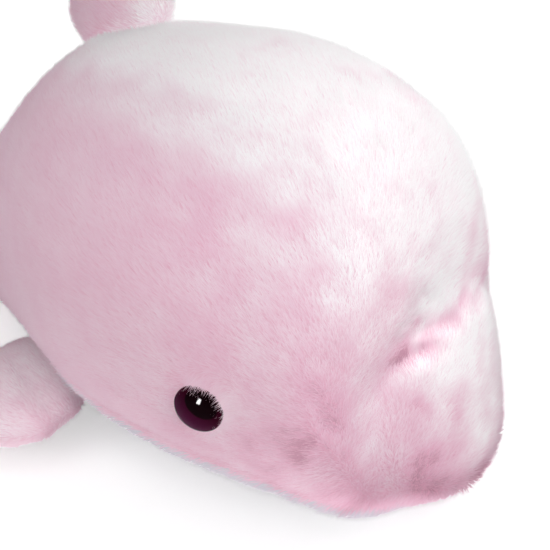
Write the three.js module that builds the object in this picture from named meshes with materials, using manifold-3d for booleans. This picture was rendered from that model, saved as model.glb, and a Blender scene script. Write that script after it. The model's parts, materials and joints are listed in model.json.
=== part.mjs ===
// A plush dolphin: panels of pile fabric sewn over loose stuffing, with four fins that bend at
// their sewn roots and two domed safety eyes that lock behind the fabric.
// Millimetres. +X points to the beak, +Y to the dolphin's left, +Z up, and the floor is z = 0.
import * as THREE from 'three';
import { mergeVertices } from 'three/addons/utils/BufferGeometryUtils.js';
import Module from 'manifold-3d';

const wasm = await Module();
wasm.setup();

// Fabric and clearances
const FABRIC = 5; // thickness of the pile fabric, fur included
const STUFFING_GAP = 0.3; // between the stuffing and the fabric
const SEAM_GAP = 0.4; // between two panels along their seam
const SEWN_GAP = 0.3; // between the body and the root of a fin
const EYE_GAP = 0.3; // around each piece of an eye

// Main sizes
const BODY_LENGTH = 469; // from the end of the tail stock to the beak
const BODY_HEIGHT = 242;
const BODY_WIDTH = 244;
const FLIPPER = { span: 101, chord: 104, thick: 40 };
const DORSAL = { span: 80, chord: 84, thick: 39 };
const FLUKE = { span: 113, chord: 77.5, thick: 27 }; // one of the two flukes

// Body outlines from the tail stock to the beak, before the belly is pressed on the floor:
// the crown, the keel and the line of greatest width between them, all seen from the side in
// shares of the length and the height, and the beam, seen from above in shares of half the width
const CROWN = [
  [0, 0.2934], [0.0064, 0.3554], [0.0277, 0.405], [0.081, 0.4876], [0.162, 0.5744], [0.3113, 0.8099],
  [0.4606, 0.9752], [0.6098, 1], [0.7377, 0.9876], [0.8593, 0.8843], [0.9104, 0.6901], [0.9232, 0.5],
  [0.9424, 0.4545], [0.9659, 0.3554], [0.9819, 0.2645], [0.9957, 0.1818], [1, 0.1405],
];
const KEEL = [
  [0, 0.2934], [0.0064, 0.2314], [0.0277, 0.1777], [0.081, 0.1074], [0.162, 0.0496], [0.3113, 0],
  [0.4606, -0.0248], [0.6098, -0.0248], [0.7377, -0.0248], [0.8593, -0.0207], [0.9104, 0.0041],
  [0.951, 0.0496], [0.9808, 0.0744], [0.9957, 0.0992], [1, 0.1405],
];
const WIDEST = [
  [0, 0.2934], [0.0277, 0.2851], [0.081, 0.2893], [0.162, 0.3017], [0.3113, 0.3802], [0.4606, 0.4463],
  [0.6098, 0.4587], [0.7377, 0.4504], [0.8593, 0.4008], [0.9104, 0.3099], [0.9403, 0.2479],
  [0.9638, 0.1983], [0.9808, 0.1653], [1, 0.1405],
];
const BEAM = [
  [0, 0], [0.0064, 0.123], [0.0277, 0.2213], [0.081, 0.3279], [0.162, 0.4016], [0.3113, 0.5656],
  [0.4606, 0.8279], [0.6098, 1], [0.7377, 1], [0.8593, 0.8689], [0.9104, 0.7377], [0.9403, 0.5738],
  [0.9638, 0.4344], [0.9808, 0.3197], [0.9957, 0.1639], [1, 0],
];
const CROWN_POWER = 2; // a section is an ellipse above its widest line
const BELLY_POWER = 2.3; // and a little squarer below it
const PRESS = 6; // heights under this are pressed smoothly towards the floor
const FLAT_CUT = 0.5; // depth of the flat face under the belly and under the root of each fin

// White belly panel, by its seam seen from the side in shares of the length and the height: its
// crest, its two ends and the places that the seam bends towards in between
const BELLY_CREST = { along: 0.62, high: 0.2066 };
const BELLY_TAIL = { along: 0.055, towards: 0.52 };
const BELLY_CHIN = { along: 0.989, high: 0.033, towards: 0.92 };

// Fins: where they are sewn on, in shares of the body, and from the root to the tip their edges
// and half thickness in shares of the fin
const FLIPPER_PLACE = { along: 0.4478, high: 0.149 };
const FLIPPER_DROOP = THREE.MathUtils.degToRad(7);
const FLIPPER_ROOT = { radius: 12, front: 0.44, back: -0.423 };
const FLIPPER_ROWS = [
  { span: 0.2673, front: 0.5577, back: -0.4423, half: 0.925 },
  { span: 0.4554, front: 0.4808, back: -0.5192, half: 1 },
  { span: 0.6436, front: 0.2692, back: -0.5769, half: 0.9 },
  { span: 0.8317, front: 0.0288, back: -0.5577, half: 0.65 },
  { span: 0.9604, front: -0.2115, back: -0.4808, half: 0.35 },
  { span: 1, front: -0.3462, back: -0.3462, half: 0 },
];
const DORSAL_PLACE = { along: 0.467 };
const DORSAL_ROOT = { radius: 15, front: 0.5, back: -0.5 };
const DORSAL_ROWS = [
  { span: 0.425, front: 0.5476, back: -0.381, half: 1 },
  { span: 0.65, front: 0.5119, back: -0.2976, half: 0.8974 },
  { span: 0.85, front: 0.369, back: -0.2024, half: 0.641 },
  { span: 0.9625, front: 0.2024, back: -0.119, half: 0.3333 },
  { span: 1, front: 0.0476, back: 0.0476, half: 0 },
];
const FLUKE_PIVOT = 6; // from the front edge back to the line on which the flukes bend
const FLUKE_ROWS = [
  { span: 0, front: 0, back: -0.7484, half: 0.963 },
  { span: 0.2301, front: -0.0258, back: -0.8645, half: 1 },
  { span: 0.5133, front: -0.2065, back: -0.9548, half: 0.963 },
  { span: 0.7611, front: -0.4645, back: -1, half: 0.7778 },
  { span: 0.9381, front: -0.6968, back: -0.9677, half: 0.4444 },
  { span: 1, front: -0.8516, back: -0.8516, half: 0 },
];

// Safety eyes, placed on the cheek in shares of the body's length and height
const EYE_PLACE = { along: 0.787, high: 0.38 };
const EYE_RADIUS = 12;
const EYE_DOME = 6.5; // height of the clear dome
const EYE_BRIM = 1; // straight edge under the dome
const EYE_SINK = 1.2; // the dome's back lies this deep in the pile
const EYE_BACKING = 1; // fabric that is left behind the eye at the least
const IRIS_THICK = 0.6;
const EYE_INSET = 0.8; // the painted plate and the back plate are this much smaller
const PLATE_THICK = 0.8;
const STEM_RADIUS = 3;
const STEM_LENGTH = 14;
const STEM_TAPER = 1;
const WASHER_RADIUS = 9;
const WASHER_THICK = 1.6;
const WASHER_DISH = 1.2; // how far the washer's rim stands inward of its middle

// Facets
const BODY_STEPS = 2; // rings to each stretch of the crown's outline
const BODY_SIDES = 24;
const LINING_STEPS = 2;
const LINING_SIDES = 14;
const ROOT_STEPS = 3; // rows in a quarter turn of a fin's rolled root
const FIN_STEPS = 1; // rings to each stretch between the rows of a fin
const FLUKE_STEPS = 2;
const FIN_SIDES = 12;
const FIN_LINING_RINGS = 6;
const FIN_LINING_SIDES = 8;
const EYE_SIDES = 16;
const EYE_ARCS = 5;
const SEAM_STEPS = 16;
const HALVINGS = 40; // rounds of closing in on a place
const NUDGE = 0.002; // step along and round the body to find a normal
const REACH = 1000; // larger than the toy, for cutting blocks

// Colours
const PINK = { color: '#e3bccb', roughness: 0.95, metalness: 0 };
const WHITE = { color: '#eef0f5', roughness: 0.95, metalness: 0 };
const STUFFING = { color: '#f3f1ec', roughness: 1, metalness: 0 };
const CLEAR = { color: '#43152c', roughness: 0.08, metalness: 0 };
const PLUM = { color: '#4a1230', roughness: 0.4, metalness: 0 };
const BLACK = { color: '#141214', roughness: 0.5, metalness: 0 };

// Solids and meshes

function solid(geometry) {
  const bare = geometry.clone();
  bare.deleteAttribute('normal');
  bare.deleteAttribute('uv');
  const merged = mergeVertices(bare);
  const corners = merged.index.array;
  const kept = [];
  for (let k = 0; k < corners.length; k += 3) {
    const [a, b, c] = corners.slice(k, k + 3);
    if (a !== b && b !== c && c !== a) kept.push(a, b, c);
  }
  const vertProperties = new Float32Array(merged.attributes.position.array);
  const triVerts = new Uint32Array(kept);
  return new wasm.Manifold(new wasm.Mesh({ numProp: 3, vertProperties, triVerts }));
}

function piece(name, form, look) {
  const { vertProperties, triVerts } = form.getMesh();
  const geometry = new THREE.BufferGeometry();
  geometry.setAttribute('position', new THREE.BufferAttribute(new Float32Array(vertProperties), 3));
  geometry.setIndex(new THREE.BufferAttribute(new Uint32Array(triVerts), 1));
  geometry.computeVertexNormals();
  const mesh = new THREE.Mesh(geometry, new THREE.MeshStandardMaterial(look));
  mesh.name = name;
  return mesh;
}

// Everything on one side of a plane, towards the given axis direction.
function halfSpace(axis, direction, offset) {
  const middle = new THREE.Vector3();
  middle[axis] = direction * REACH / 2 + offset;
  return solid(new THREE.BoxGeometry(REACH, REACH, REACH).translate(middle.x, middle.y, middle.z));
}

// A closed skin through rings of points. An open end is closed flat, and a ring that has shrunk
// to a line or a point closes by itself. The facets of the second half mirror those of the first.
function skin(rings) {
  const sides = rings[0].length;
  const points = rings.flat();
  const corners = [];
  for (let i = 0; i + 1 < rings.length; i += 1) {
    for (let j = 0; j < sides; j += 1) {
      const a = i * sides + j;
      const b = i * sides + (j + 1) % sides;
      if (j < sides / 2) corners.push(a, b, b + sides, a, b + sides, a + sides);
      else corners.push(a, b, a + sides, b, b + sides, a + sides);
    }
  }
  for (const [start, turn] of [[0, 1], [points.length - sides, -1]]) {
    const centre = new THREE.Vector3();
    for (const point of points.slice(start, start + sides)) centre.addScaledVector(point, 1 / sides);
    points.push(centre);
    for (let j = 0; j < sides; j += 1) {
      const edge = [start + j, start + (j + 1) % sides];
      if (turn > 0) edge.reverse();
      corners.push(...edge, points.length - 1);
    }
  }
  const geometry = new THREE.BufferGeometry().setFromPoints(points);
  geometry.setIndex(corners);
  return solid(geometry);
}

function angles(sides) {
  return Array.from({ length: sides }, (_, j) => Math.PI / 2 + 2 * Math.PI * j / sides);
}

const shares = (count) => Array.from({ length: count + 1 }, (_, i) => i / count);

const outline = (points) => new THREE.SplineCurve(points.map(([x, y]) => new THREE.Vector2(x, y)));

// The beak is as far in front of the middle of the whole toy as the flukes end behind it.
const BEAK_X = (BODY_LENGTH - FLAT_CUT + SEWN_GAP + FLUKE.chord) / 2;
const lengthwise = (share) => BEAK_X - BODY_LENGTH * (1 - share);
const bodyOutline = (points, size) => outline(points.map(([x, y]) => [lengthwise(x), y * size]));

// The middle of a range that closes in on where a condition begins to hold.
function onset(low, high, holds) {
  for (let k = 0; k < HALVINGS; k += 1) {
    const middle = (low + high) / 2;
    if (holds(middle)) high = middle;
    else low = middle;
  }
  return low;
}

// Body

const crownLine = bodyOutline(CROWN, BODY_HEIGHT);
const keelLine = bodyOutline(KEEL, BODY_HEIGHT);
const widestLine = bodyOutline(WIDEST, BODY_HEIGHT);
const beamLine = bodyOutline(BEAM, BODY_WIDTH / 2);

const parameterAt = (line, x) => onset(0, 1, (t) => line.getPoint(t).x > x);
const valueAt = (line, x) => line.getPoint(parameterAt(line, x)).y;
const signedPower = (value, power) => Math.sign(value) * Math.abs(value) ** power;
const pressed = (z) => (z > PRESS ? z : Math.max(z + PRESS, 0) ** 2 / (4 * PRESS)) - FLAT_CUT;

// The body's cross-section at a place along its crown, as a function of the angle round it.
function bodySection(t) {
  const { x, y: crown } = crownLine.getPoint(t);
  const keel = valueAt(keelLine, x);
  const half = Math.max(valueAt(beamLine, x), 0);
  const widest = valueAt(widestLine, x);
  return (angle) => {
    const rise = Math.sin(angle);
    const power = 2 / (rise > 0 ? CROWN_POWER : BELLY_POWER);
    const height = rise > 0 ? crown - widest : widest - keel;
    const z = widest + height * signedPower(rise, power);
    return new THREE.Vector3(x, half * signedPower(Math.cos(angle), power), pressed(z));
  };
}

// Points and outward normals of one ring.
function bodyRing(t, turns) {
  const [before, here, after] = [Math.max(t - NUDGE, 0), t, Math.min(t + NUDGE, 1)].map(bodySection);
  return turns.map((angle) => {
    const along = after(angle).sub(before(angle));
    const around = here(angle + NUDGE).sub(here(angle - NUDGE));
    return { point: here(angle), normal: around.cross(along).normalize() };
  });
}

// A skin at a depth under the fur, with a few rings to each stretch of the crown's outline and
// without the given number of rings at the beak and at the tail.
function bodyLoft(depth, steps, sides, without) {
  const rings = steps * (CROWN.length - 1);
  const loft = [];
  for (let i = without; i <= rings - without; i += 1) {
    const ring = bodyRing(i / rings, angles(sides));
    loft.push(ring.map(({ point, normal }) => point.addScaledVector(normal, -depth)));
  }
  return skin(loft);
}

const bodyForm = bodyLoft(0, BODY_STEPS, BODY_SIDES, 0).intersect(halfSpace('z', 1, 0));
const bodySurface = piece('body', bodyForm, PINK);
const bodyLining = (depth) => bodyLoft(depth, LINING_STEPS, LINING_SIDES, 1);

// Where the body's left side has a given length and height, or its crown a given length.
function bodyPlace({ along, high }) {
  const t = parameterAt(crownLine, lengthwise(along));
  const upright = Math.PI / 2;
  const section = bodySection(t);
  const reaches = (turn) => section(turn).z > high * BODY_HEIGHT;
  return bodyRing(t, [high ? onset(-upright, upright, reaches) : upright])[0];
}

// The space under the belly seam, lowered or raised by half a seam gap.
function underBellySeam(lift) {
  const crest = BELLY_CREST.high * BODY_HEIGHT + lift;
  const tail = lengthwise(BELLY_TAIL.along);
  const chin = lengthwise(BELLY_CHIN.along);
  const side = new THREE.Shape();
  side.moveTo(tail, -REACH);
  side.lineTo(tail, lift);
  side.quadraticCurveTo(lengthwise(BELLY_TAIL.towards), crest, lengthwise(BELLY_CREST.along), crest);
  side.quadraticCurveTo(lengthwise(BELLY_CHIN.towards), crest, chin, BELLY_CHIN.high * BODY_HEIGHT + lift);
  side.lineTo(chin, -REACH);
  const options = { depth: REACH, bevelEnabled: false, curveSegments: SEAM_STEPS };
  const block = new THREE.ExtrudeGeometry(side, options);
  return solid(block.rotateX(Math.PI / 2).translate(0, REACH / 2, 0));
}

// Eyes

function eyePlace(side) {
  const { point, normal } = bodyPlace(EYE_PLACE);
  point.y *= side;
  normal.y *= side;
  const place = new THREE.Group();
  place.position.copy(point);
  place.quaternion.setFromUnitVectors(new THREE.Vector3(0, 0, 1), normal);
  place.updateMatrixWorld();
  return place;
}

// Depths of an eye's layers under the fur, from the dome's back to the washer's face.
const IRIS_TOP = EYE_SINK + EYE_GAP;
const PLATE_TOP = IRIS_TOP + IRIS_THICK + EYE_GAP;
const POCKET_FLOOR = PLATE_TOP + PLATE_THICK + EYE_GAP;
const WASHER_SEAT = Math.max(FABRIC, POCKET_FLOOR + EYE_BACKING) + EYE_GAP;
const WASHER_TOP = WASHER_SEAT + EYE_GAP;
const STEM_END = PLATE_TOP + PLATE_THICK + STEM_LENGTH;

// A turned solid about +Z from radius and height pairs that start and end on the axis.
function turned(profile) {
  const points = profile.map(([radius, height]) => new THREE.Vector2(radius, height));
  return solid(new THREE.LatheGeometry(points, EYE_SIDES).rotateX(Math.PI / 2));
}

function bore(radius, top, bottom) {
  return turned([[0, -bottom], [radius, -bottom], [radius, -top], [0, -top]]);
}

function eyeDome() {
  const back = -EYE_SINK;
  const profile = [[0, back], [EYE_RADIUS, back]];
  for (let k = 0; k <= EYE_ARCS; k += 1) {
    const turn = Math.PI / 2 * k / EYE_ARCS;
    const radius = k === EYE_ARCS ? 0 : EYE_RADIUS * Math.cos(turn);
    profile.push([radius, back + EYE_BRIM + (EYE_DOME - EYE_BRIM) * Math.sin(turn)]);
  }
  return turned(profile);
}

function eyeIris() {
  return bore(EYE_RADIUS - EYE_INSET, IRIS_TOP, IRIS_TOP + IRIS_THICK);
}

function eyeStem() {
  const under = PLATE_TOP + PLATE_THICK;
  const wide = EYE_RADIUS - EYE_INSET;
  const tip = STEM_RADIUS - STEM_TAPER;
  return turned([[0, -STEM_END], [tip, -STEM_END], [STEM_RADIUS, -STEM_END + STEM_TAPER],
    [STEM_RADIUS, -under], [wide, -under], [wide, -PLATE_TOP], [0, -PLATE_TOP]]);
}

function eyeWasher() {
  const foot = WASHER_TOP + WASHER_THICK;
  const rim = WASHER_RADIUS - WASHER_DISH;
  const ring = turned([[0, -foot - WASHER_DISH], [rim, -foot - WASHER_DISH], [WASHER_RADIUS, -foot],
    [WASHER_RADIUS, -WASHER_TOP], [0, -WASHER_TOP]]);
  return ring.subtract(bore(STEM_RADIUS + EYE_GAP, WASHER_SEAT, STEM_END));
}

// What each eye takes out of the fabric and out of the stuffing.
function eyeFabricCut() {
  const pocket = bore(EYE_RADIUS + EYE_GAP, -EYE_DOME, POCKET_FLOOR);
  const hole = bore(STEM_RADIUS + EYE_GAP, 0, STEM_END);
  return pocket.add(hole).add(bore(WASHER_RADIUS + EYE_GAP, WASHER_SEAT, STEM_END));
}

function eyeStuffingCut() {
  const pocket = bore(WASHER_RADIUS + EYE_GAP, 0, WASHER_TOP + WASHER_THICK + WASHER_DISH + EYE_GAP);
  return pocket.add(bore(STEM_RADIUS + EYE_GAP, 0, STEM_END + EYE_GAP));
}

const placed = (form, place) => form.transform(place.matrixWorld.toArray());

function eye(name, place) {
  place.add(
    piece(`eye_${name}_dome`, eyeDome(), CLEAR),
    piece(`eye_${name}_iris`, eyeIris(), PLUM),
    piece(`eye_${name}_stem`, eyeStem(), BLACK),
    piece(`eye_${name}_washer`, eyeWasher(), BLACK),
  );
  return place;
}

// Fins

// Rows in shares of a fin's size, as lengths.
function sized({ span, chord, thick }, rows) {
  return rows.map((row) => ({
    span: row.span * span, front: row.front * chord, back: row.back * chord, half: row.half * thick / 2,
  }));
}

// Rows of a fin whose root is rolled to a half round, so that it bends without leaving the body.
function rooted({ radius, front, back }, size, rows) {
  const roll = shares(ROOT_STEPS).map((share) => {
    const turn = Math.PI / 2 * share;
    const [half, span] = [radius * Math.sin(turn), radius * (1 - Math.cos(turn))];
    return { span, half, front: front * size.chord, back: back * size.chord };
  });
  return [...roll, ...sized(size, rows)];
}

// A lofted fin along local x, its chord along y and its thickness along z, drawn in by an inset.
function finForm(rows, inset, places, sides) {
  const [fronts, backs, swell] = ['front', 'back', 'half'].map(
    (edge) => outline(rows.map((row) => [row.span, row[edge]])));
  const from = rows[0].span;
  const length = rows[rows.length - 1].span - from;
  const chord = Math.max(...rows.map((row) => row.front - row.back)) / 2;
  const thickness = Math.max(...rows.map((row) => row.half));
  return skin(places.map((t) => {
    const { x, y: front } = fronts.getPoint(t);
    const back = backs.getPoint(t).y;
    const half = Math.max(swell.getPoint(t).y, 0) * (1 - inset / thickness);
    const reach = (front - back) / 2 * (1 - inset / chord);
    const span = from + inset + (x - from) * (1 - 2 * inset / length);
    return angles(sides).map((angle) => new THREE.Vector3(
      span, (front + back) / 2 + reach * Math.cos(angle), half * Math.sin(angle)));
  }));
}

// Two panels, sewn together round the edge, and their stuffing. The cover has its rings at the
// rows, or between them too, and the lining has them closer together at its ends.
function finPieces(name, rows, sideNames, steps) {
  const rings = steps * (rows.length - 1);
  const liningRings = steps * FIN_LINING_RINGS;
  const even = shares(rings);
  const eased = shares(liningRings).map((share) => (1 - Math.cos(Math.PI * share)) / 2);
  const outside = finForm(rows, 0, even, FIN_SIDES);
  const lining = finForm(rows, FABRIC, eased, FIN_LINING_SIDES);
  const stuffing = finForm(rows, FABRIC + STUFFING_GAP, eased, FIN_LINING_SIDES);
  const shell = outside.subtract(lining);
  const [low, high] = sideNames;
  return [
    piece(`${name}_panel_${high}`, shell.intersect(halfSpace('z', 1, SEAM_GAP / 2)), PINK),
    piece(`${name}_panel_${low}`, shell.intersect(halfSpace('z', -1, -SEAM_GAP / 2)), PINK),
    piece(`${name}_stuffing`, stuffing, STUFFING),
  ];
}

// A group at a fin's root: x runs out along the fin, y along its chord to the front.
function finGroup(origin, out, front) {
  const group = new THREE.Group();
  const basis = new THREE.Matrix4().makeBasis(out, front, new THREE.Vector3().crossVectors(out, front));
  group.quaternion.setFromRotationMatrix(basis);
  group.position.copy(origin);
  group.updateMatrix();
  return group;
}

// The flat face under a fin's root: its middle, and the block that cuts it into the body.
function seat({ point, normal }, along, { radius, front, back }, { chord }) {
  const start = point.clone().addScaledVector(normal, radius);
  const [hit] = new THREE.Raycaster(start, normal.clone().negate()).intersectObject(bodySurface);
  const middle = hit.point.addScaledVector(normal, -FLAT_CUT);
  const block = new THREE.BoxGeometry(radius, (front - back) * chord, 2 * radius);
  block.translate(radius / 2, (front + back) * chord / 2, 0);
  block.applyMatrix4(finGroup(middle, normal, along).matrix);
  return { middle, cut: solid(block) };
}

function flipper(name, side) {
  const place = bodyPlace(FLIPPER_PLACE);
  const { point, normal } = place;
  point.y *= side;
  normal.y *= side;
  const plan = new THREE.Vector3(normal.x, normal.y, 0).normalize();
  const front = new THREE.Vector3(plan.y * side, -plan.x * side, 0);
  const out = plan.multiplyScalar(Math.cos(FLIPPER_DROOP)).setZ(-Math.sin(FLIPPER_DROOP));
  const { middle, cut } = seat(place, front, FLIPPER_ROOT, FLIPPER);
  const pivot = middle.clone().addScaledVector(normal, FLIPPER_ROOT.radius + SEWN_GAP);
  const group = finGroup(pivot.clone().addScaledVector(out, -FLIPPER_ROOT.radius), out, front);
  const sideNames = side < 0 ? ['lower', 'upper'] : ['upper', 'lower'];
  const rows = rooted(FLIPPER_ROOT, FLIPPER, FLIPPER_ROWS);
  group.add(...finPieces(name, rows, sideNames, FIN_STEPS));
  group.userData.hinge = { pivot, axis: front.multiplyScalar(side) };
  return { group, cut };
}

function dorsalFin() {
  const place = bodyPlace(DORSAL_PLACE);
  const { normal } = place;
  const front = new THREE.Vector3(normal.z, 0, -normal.x);
  const { middle, cut } = seat(place, front, DORSAL_ROOT, DORSAL);
  const root = middle.clone().addScaledVector(normal, SEWN_GAP);
  const group = finGroup(root, normal, front);
  const rows = rooted(DORSAL_ROOT, DORSAL, DORSAL_ROWS);
  group.add(...finPieces('dorsal_fin', rows, ['right', 'left'], FIN_STEPS));
  const pivot = root.clone().addScaledVector(normal, DORSAL_ROOT.radius);
  group.userData.hinge = { pivot, axis: front };
  return { group, cut };
}

function flukes() {
  const rows = sized(FLUKE, FLUKE_ROWS);
  const mirrored = rows.slice(1).reverse().map((row) => ({ ...row, span: -row.span }));
  const tail = bodySection(0)(0);
  tail.x += FLAT_CUT;
  const cut = halfSpace('x', -1, tail.x);
  const root = tail.clone().setX(tail.x - SEWN_GAP);
  const group = finGroup(root, new THREE.Vector3(0, -1, 0), new THREE.Vector3(1, 0, 0));
  group.add(...finPieces('flukes', [...mirrored, ...rows], ['lower', 'upper'], FLUKE_STEPS));
  const pivot = root.clone().setX(root.x - FLUKE_PIVOT);
  group.userData.hinge = { pivot, axis: new THREE.Vector3(0, 1, 0) };
  return { group, cut };
}

// Assembly

function body(eyePlaces, flats) {
  const fabricCuts = eyePlaces.map((place) => placed(eyeFabricCut(), place));
  const stuffingCuts = eyePlaces.map((place) => placed(eyeStuffingCut(), place));
  const without = (form, cuts) => cuts.reduce((rest, cut) => rest.subtract(cut), form);
  const shell = without(bodyForm, flats).subtract(bodyLining(FABRIC));
  const back = without(shell.subtract(underBellySeam(SEAM_GAP / 2)), fabricCuts);
  const group = new THREE.Group();
  group.add(
    piece('back_panel_right', back.intersect(halfSpace('y', -1, -SEAM_GAP / 2)), PINK),
    piece('back_panel_left', back.intersect(halfSpace('y', 1, SEAM_GAP / 2)), PINK),
    piece('belly_panel', shell.intersect(underBellySeam(-SEAM_GAP / 2)), WHITE),
    piece('body_stuffing', without(bodyLining(FABRIC + STUFFING_GAP), stuffingCuts), STUFFING),
  );
  return group;
}

const dolphin = new THREE.Group();
const eyes = [eyePlace(-1), eyePlace(1)];
const fins = [dorsalFin(), flipper('flipper_right', -1), flipper('flipper_left', 1), flukes()];
dolphin.add(
  body(eyes, fins.map((fin) => fin.cut)),
  eye('right', eyes[0]),
  eye('left', eyes[1]),
  ...fins.map((fin) => fin.group),
);

export default dolphin;
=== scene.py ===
# %% [markdown]
# # A plush dolphin
# A soft toy is a bag of pile fabric, turned right side out and filled until it is firm. What the
# eye takes for its surface isn't a surface at all, but the tips of more than half a million fibres.
# So this scene makes the bag first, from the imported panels, and then grows the pile on it.

import json
import math

import bmesh
import bpy
import numpy as np
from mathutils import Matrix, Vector
from mathutils.bvhtree import BVHTree


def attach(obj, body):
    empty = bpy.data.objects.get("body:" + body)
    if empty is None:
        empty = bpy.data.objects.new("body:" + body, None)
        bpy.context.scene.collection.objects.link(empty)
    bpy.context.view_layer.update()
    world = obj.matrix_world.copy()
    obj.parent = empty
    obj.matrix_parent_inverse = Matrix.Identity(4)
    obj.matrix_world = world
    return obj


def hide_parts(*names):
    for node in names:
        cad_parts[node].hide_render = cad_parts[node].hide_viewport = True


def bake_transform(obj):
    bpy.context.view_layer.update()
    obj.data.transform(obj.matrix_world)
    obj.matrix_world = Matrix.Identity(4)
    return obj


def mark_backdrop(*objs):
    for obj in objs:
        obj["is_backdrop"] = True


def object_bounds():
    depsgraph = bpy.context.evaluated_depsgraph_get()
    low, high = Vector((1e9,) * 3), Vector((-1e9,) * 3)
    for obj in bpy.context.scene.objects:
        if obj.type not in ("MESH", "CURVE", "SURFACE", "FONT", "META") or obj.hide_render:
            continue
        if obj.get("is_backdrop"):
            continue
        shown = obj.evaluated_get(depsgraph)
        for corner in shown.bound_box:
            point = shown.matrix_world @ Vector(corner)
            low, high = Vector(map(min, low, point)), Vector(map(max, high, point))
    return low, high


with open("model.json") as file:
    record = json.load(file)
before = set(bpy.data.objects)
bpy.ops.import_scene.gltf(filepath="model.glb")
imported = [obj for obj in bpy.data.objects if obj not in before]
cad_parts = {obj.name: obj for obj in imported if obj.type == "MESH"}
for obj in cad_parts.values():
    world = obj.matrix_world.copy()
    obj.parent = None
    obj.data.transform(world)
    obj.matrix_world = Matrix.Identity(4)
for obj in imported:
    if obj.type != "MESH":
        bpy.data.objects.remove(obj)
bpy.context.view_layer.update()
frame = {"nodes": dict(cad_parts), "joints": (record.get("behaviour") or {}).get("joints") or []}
nodes = frame["nodes"]
scene = bpy.context.scene

# %% [markdown]
# ## Camera
# The photo looks down on the dolphin's right cheek from in front. The place and the lens were
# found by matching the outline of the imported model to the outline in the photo.

# %% Camera
CAMERA_AT = Vector((0.36608, -0.32240, 0.30308))
CAMERA_TURN = math.radians(36.0)
CAMERA_RISE = math.radians(26.87)
SENSOR = 36.0  # millimetres, as the lens
LENS = 49.17
NEAREST = 0.01
backward = Vector((
    math.sin(CAMERA_TURN) * math.cos(CAMERA_RISE),
    -math.cos(CAMERA_TURN) * math.cos(CAMERA_RISE),
    math.sin(CAMERA_RISE),
))
camera_data = bpy.data.cameras.new("camera")
camera_data.sensor_width = SENSOR
camera_data.lens = LENS
camera_data.clip_start = NEAREST
camera = bpy.data.objects.new("camera", camera_data)
camera.location = CAMERA_AT
camera.rotation_euler = backward.to_track_quat("Z", "Y").to_euler()
scene.collection.objects.link(camera)
scene.camera = camera
print("camera", [round(v, 3) for v in camera.location])

# %% [markdown]
# ## A small language for nodes
# Shader and geometry nodes are both graphs of small sums. Written node by node they are hard to
# read, so one class stands for a value in a graph and takes the usual signs of arithmetic.


# %% Node graphs
class Value:
    """One output of a node, which can be added, multiplied and so on."""

    def __init__(self, socket):
        self.socket = socket

    def node(self, kind, settings=None, inputs=None, output=0):
        return make(self.socket.id_data, kind, settings, inputs, output)

    def math(self, operation, *values):
        inputs = dict(enumerate(values))
        return self.node("ShaderNodeMath", {"operation": operation}, inputs)

    def __add__(self, other):
        return self.math("ADD", self, other)

    def __sub__(self, other):
        return self.math("SUBTRACT", self, other)

    def __rsub__(self, other):
        return self.math("SUBTRACT", other, self)

    def __mul__(self, other):
        return self.math("MULTIPLY", self, other)

    def __truediv__(self, other):
        return self.math("DIVIDE", self, other)

    def __rtruediv__(self, other):
        return self.math("DIVIDE", other, self)

    def __pow__(self, other):
        return self.math("POWER", self, other)

    def __rpow__(self, other):
        return self.math("POWER", other, self)

    __radd__ = __add__
    __rmul__ = __mul__

    def between(self, low, high):
        """A smooth step from 0 at low to 1 at high."""
        inputs = {"Value": self, "From Min": low, "From Max": high}
        return self.node("ShaderNodeMapRange", {"interpolation_type": "SMOOTHSTEP"}, inputs)

    def vector(self, operation, *values, output=0):
        inputs = dict(enumerate(values))
        return self.node("ShaderNodeVectorMath", {"operation": operation}, inputs, output)

    def scaled(self, share):
        return self.node("ShaderNodeVectorMath", {"operation": "SCALE"}, {0: self, "Scale": share})

    def mixed(self, start, end):
        """A colour from start at 0 to end at 1."""
        inputs = {0: self, 6: start, 7: end}
        return self.node("ShaderNodeMix", {"data_type": "RGBA"}, inputs, 2)


def make(tree, kind, settings=None, inputs=None, output=0):
    """A new node with its settings, then its socket values or links, and one of its outputs."""
    node = tree.nodes.new(kind)
    for name, setting in (settings or {}).items():
        setattr(node, name, setting)
    for key, value in (inputs or {}).items():
        if isinstance(value, Value):
            tree.links.new(value.socket, node.inputs[key])
        else:
            node.inputs[key].default_value = value
    return Value(node.outputs[output]) if len(node.outputs) else node


# %% Materials
def colour(red, green, blue):
    """A colour as it is seen on a screen, 0 to 255, as the linear light that nodes work with."""
    shares = [c / 255 for c in (red, green, blue)]
    return (*[s / 12.92 if s < 0.04045 else ((s + 0.055) / 1.055) ** 2.4 for s in shares], 1.0)


def material(name):
    """A new material, its tree and its surface node."""
    made = bpy.data.materials.new(name)
    made.use_nodes = True
    return made, made.node_tree, made.node_tree.nodes["Principled BSDF"]


print("a middle grey reflects", round(colour(128, 128, 128)[0], 2), "of the light")

# %% [markdown]
# ## Stage
# The photo is a shop picture on white, in soft light from all round. Four wide patches of sky give
# that light here. One big lamp would be simpler, but it leaves the far side grey. Five small lamps
# then brighten the brow, the crown, the side, the rear and the flipper as the photo shows them, and
# one more is seen only as a glint in the eye. The floor and the world are white to whoever looks at
# them but shine little on the toy, so that it keeps its shadow.


# %% Floor
def looked_at(tree):
    """1 for what is seen straight, in a reflection or through glass, and 0 for light on its way."""
    kinds = ("Camera", "Glossy", "Transmission")
    rays = [make(tree, "ShaderNodeLightPath", output=f"Is {kind} Ray") for kind in kinds]
    return rays[0].math("MAXIMUM", rays[0].math("MAXIMUM", *rays[:2]), rays[2])


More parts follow.
